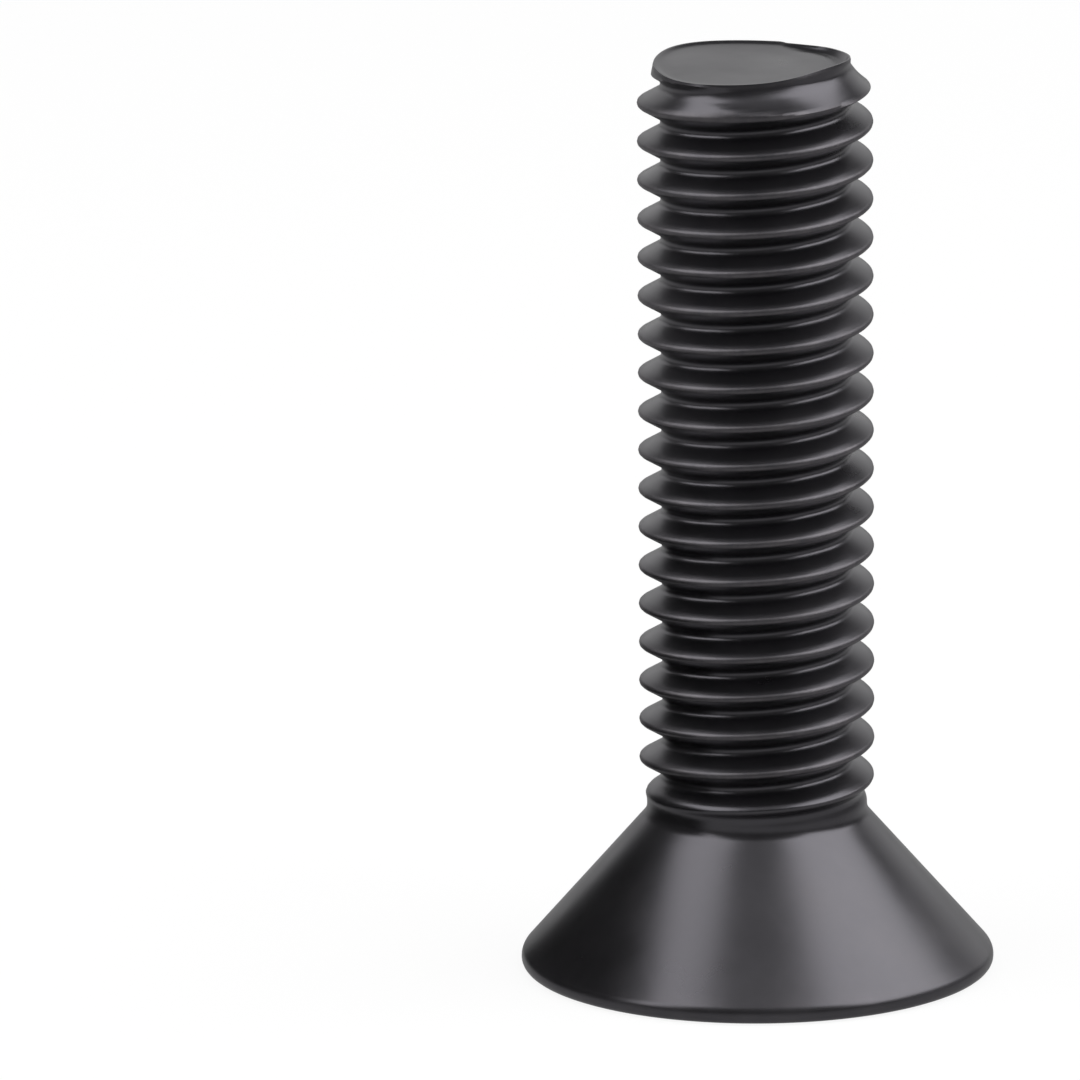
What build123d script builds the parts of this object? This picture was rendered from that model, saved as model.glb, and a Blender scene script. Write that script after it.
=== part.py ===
from build123d import *
import os
from math import cos, pi, radians, sin, tan

# Countersunk socket screw, #10-32 UNF x 3/4 in, black alloy steel: one forged blank with a
# rolled thread. Millimetres. It stands on the flat of its head: that face is Z = 0, centred
# on the axis, and the thread climbs +Z to the point. +X passes through a corner of the hexagon.

# Head
head_d = 9.50            # over the rim
head_angle = 82.0        # included angle of the countersink
rim_h = 0.29             # from the flat face to where the cone meets the rim
rim_break = 0.12         # edge break between the flat face and the rim

# Shank
length = 18.70           # over all: the head counts in a countersunk screw's length
neck_d = 4.42            # unthreaded blank under the head
neck_h = 0.12            # straight neck above the cone
neck_fillet_r = 0.18     # between cone and neck
runout_h = 0.75          # height over which the thread fades into the neck

# Thread: UNF, 60 degrees, single start, right-handed
threads_per_inch = 32
thread_d = 4.72          # over the crests
thread_angle = 60.0
crest_flat = 0.10        # an eighth of the pitch
thread_end = 226.0       # degrees from +X at which a crest reaches the end face

# Point
point_d = 4.00           # of the end face
point_angle = 70.0       # included angle of the taper behind it

# Hexagon socket for a 1/8 in key
socket_af = 3.19         # across flats
socket_depth = 2.30      # to the foot of the flats
socket_drill_angle = 120.0
socket_break = 0.06      # edge break round the mouth

pitch = 25.4 / threads_per_inch
head_r = head_d / 2
neck_r = neck_d / 2
crest_r = thread_d / 2
root_r = crest_r - (pitch - crest_flat) / 2 / tan(radians(thread_angle / 2))
cone_top = rim_h + (head_r - neck_r) / tan(radians(head_angle / 2))
runout_low = cone_top + neck_h
runout_high = runout_low + runout_h
overlap = 0.03           # how far the head's stub lies inside the shank that it fuses with


def turned(points, eased=()):
    """Solid turned from a half section of (radius, height) points, with corners eased."""
    with BuildPart() as body:
        with BuildSketch(Plane.XZ) as section:
            with BuildLine():
                Polyline(*points, close=True)
            make_face()
            for corner, ease, size in eased:
                ease(section.vertices().sort_by_distance(corner)[0], size)
        revolve(axis=Axis.Z)
    return body.part


# Head: flat face, narrow rim, countersunk cone, and a filleted stub inside the shank.
stub_r = neck_r - overlap
stub_foot = rim_h + (head_r - stub_r) / tan(radians(head_angle / 2))
rim_foot = (head_r, 0)
stub_corner = (stub_r, stub_foot)
head = turned(
    [
        (0, 0),
        rim_foot,
        (head_r, rim_h),
        stub_corner,
        (stub_r, runout_low),
        (0, runout_low),
    ],
    [(rim_foot, chamfer, rim_break), (stub_corner, fillet, neck_fillet_r)],
)

# Thread: its crest's two edges and its root are helices that share one pitch. Ruled faces
# between them, a turn at a time, are sewn into a threaded rod. Towards the head each line
# closes on the neck's radius, so the groove grows shallow and the crest sinks.
lines = [(crest_r, -crest_flat / 2), (crest_r, crest_flat / 2), (root_r, pitch / 2)]
end_crest = length - pitch * thread_end / 360
turns_down = int((end_crest - cone_top) / pitch) + 2
turns_up = 2
low_crest = end_crest - turns_down * pitch


def thread_point(line, turn):
    radius, offset = lines[line]
    z = low_crest + offset + pitch * turn
    depth = min(max((z - runout_low) / runout_h, 0), 1)
    depth = depth**3 * (10 + depth * (6 * depth - 15))
    r = neck_r + depth * (radius - neck_r)
    return Vector(r * cos(2 * pi * turn), r * sin(2 * pi * turn), z)


def thread_line(line, turn, steps=12, small=1e-6):
    start = thread_point(line, turn)
    if start.Z >= runout_high:
        return Helix(pitch, pitch, lines[line][0], center=(0, 0, start.Z)).edge()
    places = [turn + step / steps for step in range(steps + 1)]
    slopes = []
    for place in (places[0], places[-1]):
        rise = thread_point(line, place + small) - thread_point(line, place - small)
        slopes.append(rise * (0.5 / small))
    points = [thread_point(line, place) for place in places]
    return Edge.make_spline(points, tangents=slopes, parameters=places, scale=False)


def thread_cap(turn):
    """The two faces that close the rod inside the head or beyond the point."""
    helix = thread_line(0, turn)
    low = helix @ 0
    high = helix @ 1
    axis = Edge.make_line((0, 0, low.Z), (0, 0, high.Z))
    profile = [thread_point(line, turn) for line in range(len(lines))]
    flat = Wire.make_polygon([(0, 0, low.Z), *profile, high, (0, 0, high.Z)], close=True)
    return [Face.make_surface_from_curves(axis, helix), Face(flat)]


faces = thread_cap(0) + thread_cap(turns_down + turns_up)
for turn in range(turns_down + turns_up):
    for line in range(len(lines)):
        lower = thread_line(line, turn)
        if line + 1 < len(lines):
            upper = thread_line(line + 1, turn)
        else:
            upper = thread_line(0, turn + 1)
        faces.append(Face.make_surface_from_curves(lower, upper))
rod = Solid(Shell(faces))

# Point: the end is faced off square and tapers, which trims the last crest.
point_r = point_d / 2
margin = pitch
reach = (crest_r + margin - point_r) / tan(radians(point_angle / 2))
point = turned(
    [
        (0, 0),
        (crest_r + margin, 0),
        (crest_r + margin, length - reach),
        (point_r, length),
        (0, length),
    ]
)
shank = rod & point

# Socket: six flats down to a drilled, conical bottom.
drill_h = socket_af / 2 / tan(radians(socket_drill_angle / 2))
drill = turned(
    [
        (0, socket_depth / 2),
        (socket_af / 2, socket_depth / 2),
        (socket_af / 2, socket_depth),
        (0, socket_depth + drill_h),
    ]
)
hexagon = extrude(RegularPolygon(socket_af / 2, 6, major_radius=False), socket_depth)

screw = head + shank - hexagon - drill
mouth = screw.edges().filter_by(GeomType.LINE).group_by(Axis.Z)[0]
screw = chamfer(mouth, socket_break)

os.makedirs("parts", exist_ok=True)
export_step(screw, "parts/screw.step")
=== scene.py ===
from math import cos, degrees, exp, pi, radians, sin, sqrt, tan

import bpy
from mathutils import Matrix, Vector


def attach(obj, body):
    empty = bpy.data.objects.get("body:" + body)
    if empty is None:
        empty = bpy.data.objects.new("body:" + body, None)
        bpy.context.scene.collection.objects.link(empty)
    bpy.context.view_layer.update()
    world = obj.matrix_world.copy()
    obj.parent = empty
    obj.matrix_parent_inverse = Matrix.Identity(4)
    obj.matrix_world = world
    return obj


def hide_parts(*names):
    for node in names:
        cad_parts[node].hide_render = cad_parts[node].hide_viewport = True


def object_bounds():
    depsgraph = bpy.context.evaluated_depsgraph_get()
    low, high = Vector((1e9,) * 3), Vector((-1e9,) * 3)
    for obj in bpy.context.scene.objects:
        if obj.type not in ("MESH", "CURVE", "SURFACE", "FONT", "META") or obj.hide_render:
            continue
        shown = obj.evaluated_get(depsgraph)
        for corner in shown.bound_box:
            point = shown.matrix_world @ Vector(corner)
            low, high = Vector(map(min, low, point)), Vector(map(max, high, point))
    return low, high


# One countersunk socket screw, standing on its head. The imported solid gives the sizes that
# can be read from it; the rest repeats the part's own dimensions, in metres.
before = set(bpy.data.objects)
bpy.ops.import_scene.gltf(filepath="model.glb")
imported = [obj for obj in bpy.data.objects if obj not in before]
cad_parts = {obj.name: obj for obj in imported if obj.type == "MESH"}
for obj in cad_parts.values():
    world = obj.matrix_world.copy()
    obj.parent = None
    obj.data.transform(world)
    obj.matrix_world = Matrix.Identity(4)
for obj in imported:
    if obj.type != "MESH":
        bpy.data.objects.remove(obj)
cad_low, cad_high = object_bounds()
mm = 0.001

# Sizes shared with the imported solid
length = cad_high.z
head_r = (cad_high.x - cad_low.x) / 2
head_half_angle = radians(41)
rim_h = 0.29 * mm
neck_r = 2.21 * mm
neck_h = 0.12 * mm               # straight neck above the cone
runout_h = 0.75 * mm             # height over which the thread fades into the neck
threads_per_inch = 32
crest_r = 2.36 * mm
thread_end = radians(226)        # from +X to where a crest reaches the solid's end
socket_af = 3.19 * mm            # across flats
socket_depth = 2.30 * mm         # to the foot of the flats
socket_break = 0.06 * mm         # edge break round the mouth
drill_half_angle = radians(60)

# Forms finer than the solid's
neck_fillet_r = 0.35 * mm        # between cone and neck
rim_foot_round = 0.17 * mm       # between flat face and rim
rim_top_round = 0.28 * mm        # between rim and cone
crest_round = 0.0866 * mm
root_r = 1.895 * mm

# Point: its face lies below the solid's end, and a taper behind it trims the last turn
face_drop = 0.13 * mm
tip_edge_round = 0.05 * mm
tip_slope = 0.45                 # radius that the taper gains per height, towards +X
left_slope = 0.05                # the same towards -X, where the last crest stays fuller
tip_curve = 1.0 / mm             # how fast it steepens further down
trim_blend = 0.03 * mm           # rounding where taper and thread cross
filled = 0.85                    # how far the last groove is filled up
filled_turns = (0.50, 0.76)      # between these turns above crest_at_zero

# Edge of the end face, out of round where the last crest flowed over it: shares of the pitch,
# and degrees from +X
face_share = 2.42
far_growth = 0.15                # wider towards -X
far_angles = (75, 125)
flow_growth = 0.21               # wider where the crest flowed out
flow_angle = 132
flow_spread = 24
step_depth = 0.12                # narrower where that crest runs out
step_start = (34, 62)
step_end = (68, 74)

# Lip that rolling left round that face, pushed up on one side, and the fold behind it
lip_share = 0.05
lip_push = 0.23
lip_angle = -38
lip_spread_before = 34
lip_spread_after = 52
fold_share = 0.05
fold_start = (-35, 5)
fold_end = (45, 72)

# Rings from the face's edge inwards: inset in pitches, how much of the lip is gone, and how
# much of the fold's depth is reached
tip_rings = (
    (0.02, 0.0, 0.0),
    (0.06, 0.02, 0.0),
    (0.11, 0.30, 0.45),
    (0.17, 0.75, 0.95),
    (0.25, 0.97, 1.0),
    (0.36, 1.0, 0.7),
    (0.50, 1.0, 0.2),
    (0.62, 1.0, 0.0),
)

# Wear, from 0 for full coating to 1 for the most rubbed
rim_foot_wear = 0.2
rim_top_wear = 0.15
rim_wear_reach = 0.08            # share of the cone over which it fades
mouth_wear = 1.0
tip_edge_wear = 0.6
crest_wear_from = 0.07 * mm      # depth below the crest at which wear starts
crest_wear_full = 0.01 * mm      # and where it is complete

# Mesh
columns = 180
cone_bands = 14
flank_parts = 3                  # of a flank between crest and root
turns_up = 3                     # rows are laid out this far above crest_at_zero
row_snap = 0.01 * mm             # rows this near to neck or end join it
sharp_angle = radians(38)

turn = 2 * pi
pitch = 25.4 * mm / threads_per_inch
cone_top = rim_h + (head_r - neck_r) / tan(head_half_angle)
runout_low = cone_top + neck_h
face_z = length - face_drop


def ramp(x, low, high):
    """Smooth step from 0 at low to 1 at high."""
    t = min(max((x - low) / (high - low), 0.0), 1.0)
    return t * t * (3 - 2 * t)


def gentle_ramp(share):
    """Smooth step from 0 to 1 whose curvature is smooth too."""
    t = min(max(share, 0.0), 1.0)
    return t**3 * (10 + t * (6 * t - 15))


def bump(x, centre, spread):
    """Bell of height 1."""
    return exp(-((x - centre) / spread) ** 2)


def soft_min(a, b, blend):
    """The smaller of two radii, rounded where they cross."""
    h = min(max(0.5 + (b - a) / (2 * blend), 0.0), 1.0)
    return b + (a - b) * h - blend * h * (1 - h)


def between(low, high, share):
    """Point of a section that lies a share of the way from low to high."""
    return tuple(a + (b - a) * share for a, b in zip(low, high))


def arc(centre, radius, start, end, steps):
    """Points of a round corner in the (radius, height) section; angles in degrees."""
    points = []
    for step in range(steps + 1):
        angle = radians(start + (end - start) * step / steps)
        points.append((centre[0] + radius * cos(angle), centre[1] + radius * sin(angle)))
    return points


# ---------------------------------------------------------------- thread section
def pitch_section():
    """(rise above the crest's centre, radius) over one pitch: round crest, flanks, round root."""
    half = pitch / 2
    root_round = root_r - (crest_r + crest_round - half * sqrt(3))
    rising = []
    for angle in (0, 30, 60):
        a = radians(angle)
        rising.append((crest_round * sin(a), crest_r - crest_round * (1 - cos(a))))
    root = []
    for angle in (60, 40, 20, 0):
        a = radians(angle)
        root.append((half - root_round * sin(a), root_r + root_round * (1 - cos(a))))
    flank_top = rising[-1]
    for part in range(1, flank_parts):
        rising.append(between(flank_top, root[0], part / flank_parts))
    rising += root
    falling = [(pitch - rise, radius) for rise, radius in reversed(rising[1:-1])]
    return rising + falling


section = pitch_section()
rows_a_turn = len(section)
crest_at_zero = length - pitch * thread_end / turn - pitch


def side_angle(theta):
    """Degrees from +X, between -180 and 180."""
    return (theta * 180 / pi + 180) % 360 - 180


def face_radius(theta):
    """Edge of the end face."""
    t = side_angle(theta)
    around = abs(t)
    far = far_growth * ramp(around, *far_angles)
    flow = flow_growth * bump(around, flow_angle, flow_spread)
    step = ramp(t, *step_start) * (1 - ramp(t, *step_end))
    return pitch * (face_share + far + flow - step_depth * step)


def lip_height(theta):
    """How far the lip stands above the end face."""
    t = side_angle(theta)
    spread = lip_spread_before if t < lip_angle else lip_spread_after
    return pitch * (lip_share + lip_push * bump(t, lip_angle, spread))


def fold_depth(theta):
    """Depth of the fold between the lip and the face."""
    t = side_angle(theta)
    return fold_share * pitch * ramp(t, *fold_start) * (1 - ramp(t, *fold_end))


def taper_radius(theta, z):
    """Radius of the taper that trims the thread behind the end face."""
    leftness = ((1 - cos(theta)) / 2) ** 2
    slope = tip_slope + (left_slope - tip_slope) * leftness
    below = max(face_z - z, 0)
    return face_radius(theta) + slope * below + tip_curve * below**2


def thread_radius(theta, z, index):
    """Radius of the threaded surface at an angle and height, for a row of the helical grid."""
    crest_number, step = divmod(index, rows_a_turn)
    radius = section[step][1]
    taper = taper_radius(theta, z)
    fill = filled * ramp(crest_number + theta / turn, *filled_turns)
    radius = radius + fill * max(min(taper, crest_r) - radius, 0)
    radius = soft_min(radius, taper, trim_blend)
    return neck_r + gentle_ramp((z - runout_low) / runout_h) * (radius - neck_r)


# ---------------------------------------------------------------- mesh
class Skin:
    """Vertices and faces of the screw, with how worn each vertex is."""

    def __init__(self):
        self.points = []
        self.wear = []
        self.faces = []

    def add(self, radius, theta, z, wear=0.0):
        self.points.append((radius * cos(theta), radius * sin(theta), z))
        self.wear.append(wear)
        return len(self.points) - 1

    def ring(self, radius, z, wear=0.0):
        """One vertex a column; radius, z and wear may depend on the angle."""
        made = []
        for column in range(columns):
            theta = turn * column / columns
            values = [v(theta) if callable(v) else v for v in (radius, z, wear)]
            made.append(self.add(values[0], theta, values[1], values[2]))
        return made

    def face(self, *corners):
        """Face between corners, less those that fall together."""
        kept = [c for n, c in enumerate(corners) if c != corners[n - 1]]
        if len(set(kept)) > 2:
            self.faces.append(kept)

    def strip(self, below, above):
        """Faces between two rings, looking outward."""
        for column in range(columns):
            after = (column + 1) % columns
            self.face(below[column], below[after], above[after], above[column])

    def close(self, ring, centre, facing_up):
        """Fan from a ring to one vertex on the axis."""
        for column in range(columns):
            after = (column + 1) % columns
            if facing_up:
                self.face(ring[column], ring[after], centre)
            else:
                self.face(ring[after], ring[column], centre)


def head_section():
    """(radius, height, wear) from the flat face's edge up to the neck."""
    cone_turn = degrees(head_half_angle)
    half_turn_slope = tan(head_half_angle / 2)
    foot_centre = (head_r - rim_foot_round, rim_foot_round)
    foot = arc(foot_centre, rim_foot_round, -90, 0, 6)
    top_centre = (head_r - rim_top_round, rim_h - rim_top_round * half_turn_slope)
    top = arc(top_centre, rim_top_round, 0, cone_turn, 5)
    fillet_centre = (neck_r + neck_fillet_r, cone_top + neck_fillet_r * half_turn_slope)
    fillet = arc(fillet_centre, neck_fillet_r, 180 + cone_turn, 180, 5)

    points = [(r, z, rim_foot_wear) for r, z in foot]
    points += [(r, z, rim_top_wear) for r, z in top]
    for band in range(1, cone_bands):
        share = band / cone_bands
        wear = rim_top_wear * (1 - ramp(share, 0, rim_wear_reach))
        points.append((*between(top[-1], fillet[0], share), wear))
    return points + [(r, z, 0.0) for r, z in fillet]


def add_head(skin):
    """Rim, cone and fillet. Returns the ring at the flat face's edge and the one at the neck."""
    rings = [skin.ring(r, z, wear) for r, z, wear in head_section()]
    for below, above in zip(rings, rings[1:]):
        skin.strip(below, above)
    return rings[0], rings[-1]


def hexagon_radius(grow):
    """Function of the angle that gives the hexagon's outline, wider by grow."""
    def radius(theta):
        from_flat = (theta % (pi / 3)) - pi / 6
        return (socket_af / 2 + grow) / cos(from_flat)
    return radius


def add_socket(skin, base):
    """Flat face, hexagon and drilled bottom, inwards from the flat face's edge."""
    def face_ring(share):
        outer = head_r - rim_foot_round
        inner = hexagon_radius(socket_break)
        return skin.ring(lambda theta: inner(theta) + (outer - inner(theta)) * share, 0.0)

    mouth = face_ring(0.0)
    inward = [base, face_ring(0.66), face_ring(0.33), mouth]
    flats = hexagon_radius(0.0)
    inward.append(skin.ring(flats, socket_break, mouth_wear))
    for share in (0.33, 0.66, 1.0):
        inward.append(skin.ring(flats, socket_break + (socket_depth - socket_break) * share))
    drill_r = socket_af / 2
    drill_h = drill_r / tan(drill_half_angle)
    inward.append(skin.ring(drill_r, socket_depth))
    for share in (0.4, 0.75):
        inward.append(skin.ring(drill_r * (1 - share), socket_depth + drill_h * share))
    for outer, inner in zip(inward, inward[1:]):
        skin.strip(inner, outer)
    skin.close(inward[-1], skin.add(0, 0, socket_depth + drill_h), facing_up=False)


def add_thread(skin, neck):
    """Rows that climb one pitch a turn, cut off level at the neck and at the end face.

    Returns the ring at the end face's eased edge.
    """
    neck_z = skin.points[neck[0]][2]
    turns_down = int((crest_at_zero - neck_z) / pitch) + 2
    grid = []
    tops = []
    for column in range(columns):
        theta = turn * column / columns
        top_z = face_z + lip_height(theta) - tip_edge_round
        rows = []
        top = None
        for index in range(-turns_down * rows_a_turn, turns_up * rows_a_turn + 1):
            crest_number, step = divmod(index, rows_a_turn)
            z = crest_at_zero + pitch * (theta / turn + crest_number) + section[step][0]
            if z <= neck_z + row_snap:
                rows.append(neck[column])
            elif z >= top_z - row_snap:
                if top is None:
                    radius = thread_radius(theta, top_z, index)
                    top = skin.add(radius, theta, top_z, tip_edge_wear)
                rows.append(top)
            else:
                radius = thread_radius(theta, z, index)
                wear = ramp(radius, crest_r - crest_wear_from, crest_r - crest_wear_full)
                rows.append(skin.add(radius, theta, z, wear))
        grid.append(rows)
        tops.append(top)

    # The last column meets the first one's rows a pitch higher up
    grid.append(grid[0][rows_a_turn:])
    for here, there in zip(grid, grid[1:]):
        for row in range(min(len(here), len(there)) - 1):
            skin.face(here[row], there[row], there[row + 1], here[row + 1])
    return tops


def add_point(skin, tops):
    """End face: the lip's inner side and the fold behind it, then flat to the axis."""
    def tip_ring(inset, lost, sunk):
        def radius(theta):
            return face_radius(theta) - inset * pitch

        def height(theta):
            return face_z + lip_height(theta) * (1 - lost) - fold_depth(theta) * sunk

        return radius, height

    previous = tops
    for place in tip_rings:
        radius, height = tip_ring(*place)
        ring = skin.ring(radius, height)
        skin.strip(previous, ring)
        previous = ring
    for share in (0.75, 0.5, 0.25):
        ring = skin.ring(lambda theta: radius(theta) * share, face_z)
        skin.strip(previous, ring)
        previous = ring
    skin.close(previous, skin.add(0, 0, face_z), facing_up=True)


def link(name, data):
    """New object of that name in the scene."""
    made = bpy.data.objects.new(name, data)
    bpy.context.scene.collection.objects.link(made)
    return made


def build_screw():
    skin = Skin()
    base, neck = add_head(skin)
    add_socket(skin, base)
    add_point(skin, add_thread(skin, neck))

    mesh = bpy.data.meshes.new("screw_skin")
    mesh.from_pydata(skin.points, [], skin.faces)
    mesh.validate()
    layer = mesh.attributes.new("wear", "FLOAT", "POINT")
    layer.data.foreach_set("value", skin.wear)
    mesh.shade_smooth()
    mesh.set_sharp_from_angle(angle=sharp_angle)
    return link("screw_visual", mesh)


# ---------------------------------------------------------------- materials
class Nodes:
    """Short way to fill the node tree of a material or a world."""

    def __init__(self, owner):
        owner.use_nodes = True
        self.tree = owner.node_tree
        self.tree.nodes.clear()

    def add(self, kind, **values):
        """New node; each value goes to the input of that name, or else to the node itself."""
        node = self.tree.nodes.new(kind)
        for key, value in values.items():
            if key in node.inputs:
                node.inputs[key].default_value = value
            else:
                setattr(node, key, value)
        return node

    def link(self, source, target):
        self.tree.links.new(source, target)

    def colours(self, source, stops):
        """Colour ramp over (position, colour) stops."""
        node = self.add("ShaderNodeValToRGB")
        band = node.color_ramp
        band.elements[0].position, band.elements[0].color = stops[0]
        band.elements[1].position, band.elements[1].color = stops[-1]
        for position, colour in stops[1:-1]:
            band.elements.new(position).color = colour
        self.link(source, node.inputs["Fac"])
        return node.outputs["Color"]

    def spread(self, source, low, high, new_low=0.0, new_high=1.0):
        """Map the range low to high onto another."""
        node = self.add("ShaderNodeMapRange")
        node.inputs["From Min"].default_value = low
        node.inputs["From Max"].default_value = high
        node.inputs["To Min"].default_value = new_low
        node.inputs["To Max"].default_value = new_high
        self.link(source, node.inputs["Value"])
        return node.outputs["Result"]

    def mix(self, share, first, second):
        """Mix of two shader outputs."""
        node = self.add("ShaderNodeMixShader")
        self.link(share, node.inputs[0])
        self.link(first, node.inputs[1])
        self.link(second, node.inputs[2])
        return node.outputs["Shader"]


def grey(value):
    return (value, value, value, 1.0)


def black_oxide():
    """Oiled black oxide: cloudy, near black, and a little lighter and rougher where worn."""
    worn_colour = (0.17, 0.16, 0.17, 1)
    worn_roughness = 0.14
    material = bpy.data.materials.new("black_oxide")
    n = Nodes(material)
    place = n.add("ShaderNodeTexCoord").outputs["Object"]
    shader = n.add("ShaderNodeBsdfPrincipled", Metallic=0.96)
    out = n.add("ShaderNodeOutputMaterial")
    n.link(shader.outputs["BSDF"], out.inputs["Surface"])

    cloudy = n.add("ShaderNodeTexNoise", Scale=420.0, Detail=4.0, Roughness=0.6)
    n.link(place, cloudy.inputs["Vector"])
    worn = n.add("ShaderNodeAttribute", attribute_name="wear")

    # Coating colour: near black with a faint violet cast, cloudy from the oil
    coat = n.colours(cloudy.outputs["Fac"], [
        (0.30, (0.083, 0.080, 0.088, 1)),
        (0.55, (0.096, 0.093, 0.102, 1)),
        (0.75, (0.108, 0.104, 0.113, 1)),
    ])

    # Worn places are bare in patches
    patches = n.add("ShaderNodeTexNoise", Scale=1500.0, Detail=5.0, Roughness=0.7)
    n.link(place, patches.inputs["Vector"])
    bare = n.add("ShaderNodeMath", operation="MULTIPLY")
    n.link(worn.outputs["Fac"], bare.inputs[0])
    n.link(n.spread(patches.outputs["Fac"], 0.30, 0.80), bare.inputs[1])
    colour = n.add("ShaderNodeMix", data_type="RGBA")
    colour.inputs[7].default_value = worn_colour
    n.link(bare.outputs["Value"], colour.inputs[0])
    n.link(coat, colour.inputs[6])
    n.link(colour.outputs[2], shader.inputs["Base Color"])

    # Oiled flanks are smoother than the rubbed crests
    rough = n.add("ShaderNodeMath", operation="MULTIPLY_ADD")
    rough.inputs[1].default_value = worn_roughness
    n.link(worn.outputs["Fac"], rough.inputs[0])
    n.link(n.spread(cloudy.outputs["Fac"], 0.30, 0.70, 0.26, 0.36), rough.inputs[2])
    n.link(rough.outputs["Value"], shader.inputs["Roughness"])
    return material


def white_surface(name, lit_share, mirrored):
    """White for the camera, a plain grey in reflections, and it still takes the object's shadow."""
    material = bpy.data.materials.new(name)
    n = Nodes(material)
    light = n.add("ShaderNodeLightPath")
    seen = n.add("ShaderNodeMath", operation="MULTIPLY")
    seen.inputs[1].default_value = 1 - lit_share
    n.link(light.outputs["Is Camera Ray"], seen.inputs[0])
    diffuse = n.add("ShaderNodeBsdfDiffuse", Color=grey(0.9))
    glow = n.add("ShaderNodeEmission", Color=grey(1.0), Strength=1.0)
    direct = n.mix(seen.outputs["Value"], diffuse.outputs["BSDF"], glow.outputs["Emission"])
    bounced = n.add("ShaderNodeMath", operation="MAXIMUM")
    n.link(light.outputs["Is Glossy Ray"], bounced.inputs[0])
    n.link(light.outputs["Is Transmission Ray"], bounced.inputs[1])
    image = n.add("ShaderNodeEmission", Color=grey(mirrored), Strength=1.0)
    both = n.mix(bounced.outputs["Value"], direct, image.outputs["Emission"])
    out = n.add("ShaderNodeOutputMaterial")
    n.link(both, out.inputs["Surface"])
    return material


def dark_reflection_card():
    # Near-black card seen only in reflections: it paints a dark reflection on the left of the cone
    material = bpy.data.materials.new("painted_dark_reflection")
    n = Nodes(material)
    dark = n.add("ShaderNodeBsdfDiffuse", Color=grey(0.01))
    out = n.add("ShaderNodeOutputMaterial")
    n.link(dark.outputs["BSDF"], out.inputs["Surface"])
    return material


# ---------------------------------------------------------------- the screw
screw = build_screw()
screw.data.materials.append(black_oxide())
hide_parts("screw")
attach(screw, "root")


# ---------------------------------------------------------------- floor, light, camera
def build_sheet(name, corners, material):
    """Flat object with four corners."""
    mesh = bpy.data.meshes.new(name)
    mesh.from_pydata(corners, [], [(0, 1, 2, 3)])
    mesh.materials.append(material)
    return link(name, mesh)


def light_world(strength):
    """Plain world of that strength, which the camera sees as white."""
    world = bpy.data.worlds.new("studio")
    bpy.context.scene.world = world
    n = Nodes(world)
    light = n.add("ShaderNodeLightPath")
    dim = n.add("ShaderNodeBackground", Color=grey(1.0), Strength=strength)
    white = n.add("ShaderNodeBackground", Color=grey(1.0), Strength=1.0)
    seen = n.mix(light.outputs["Is Camera Ray"], dim.outputs[0], white.outputs[0])
    out = n.add("ShaderNodeOutputWorld")
    n.link(seen, out.inputs["Surface"])


def soft_box(name, azimuth, elevation, distance, width, height, radiance):
    """Area light aimed at the screw. Azimuth 0 is the camera's side, and it grows to the right."""
    lamp = bpy.data.lights.new(name, "AREA")
    lamp.shape = "RECTANGLE"
    lamp.size = width
    lamp.size_y = height
    lamp.energy = radiance * width * height * pi
    box = link(name, lamp)
    a, e = radians(azimuth), radians(elevation)
    toward = Vector((sin(a) * cos(e), -cos(a) * cos(e), sin(e)))
    target = Vector((0, 0, length / 2))
    box.location = target + toward * distance
    box.rotation_euler = toward.to_track_quat("Z", "Y").to_euler()
    box.visible_camera = False
    return box


half = 0.3
floor_corners = [(-half, -half, 0), (half, -half, 0), (half, half, 0), (-half, half, 0)]
floor = build_sheet("floor", floor_corners, white_surface("pale_floor", 0.12, 0.45))
floor.location.z = -0.01 * mm    # just clear of the flat face

light_world(0.125)
soft_box("left_box", -76, 42, 0.20, 0.20, 0.18, 2.2)
soft_box("right_box", 84, 42, 0.20, 0.24, 0.18, 2.6)
soft_box("top_box", 0, 66, 0.20, 0.16, 0.12, 0.37)
soft_box("back_box", 180, 15, 0.30, 0.60, 0.15, 0.60)
fill = soft_box("fill", 0, 80, 0.40, 0.50, 0.50, 0.90)
fill.visible_glossy = False

# A dark card to the left of the head, which shows only in reflections: a painted dark reflection
# that darkens the left of the cone
flag_x = -7.6 * mm
flag_near = -6 * mm
flag_far = 7 * mm
flag_h = 8.4 * mm
flag_outline = [(flag_near, 0), (flag_far, 0), (flag_far, flag_h), (flag_near, flag_h)]
flag = build_sheet("flag", [(flag_x, y, z) for y, z in flag_outline], dark_reflection_card())
flag.visible_camera = False
flag.visible_diffuse = False
flag.visible_shadow = False

# Camera: long lens, placed so that the screw falls where it stands in the picture. The axis
# meets the floor at the pixel (axis_x, base_y).
image_size = 1080
pixels_per_mm = 49.9
axis_x = 756.3
base_y = 965.5
sensor_width = 36
camera_elevation = radians(14.4)
camera_roll = radians(0.3)
camera_distance = 0.5
across = (axis_x - image_size / 2) / pixels_per_mm * mm
up = (base_y - image_size / 2) / (pixels_per_mm * cos(camera_elevation)) * mm
camera_data = bpy.data.cameras.new("camera")
camera_data.sensor_width = sensor_width
camera_data.lens = sensor_width * camera_distance / (image_size / pixels_per_mm * mm)
camera_data.clip_start = 0.01
camera_data.clip_end = 10
camera = link("camera", camera_data)
aim = Vector((-across, 0, up))
back = Vector((0, -cos(camera_elevation), sin(camera_elevation)))
camera.location = aim + back * camera_distance
turned = back.to_track_quat("Z", "Y").to_matrix().to_4x4() @ Matrix.Rotation(-camera_roll, 4, "Z")
camera.rotation_euler = turned.to_euler()
bpy.context.scene.camera = camera
bpy.context.scene.view_settings.view_transform = "Standard"
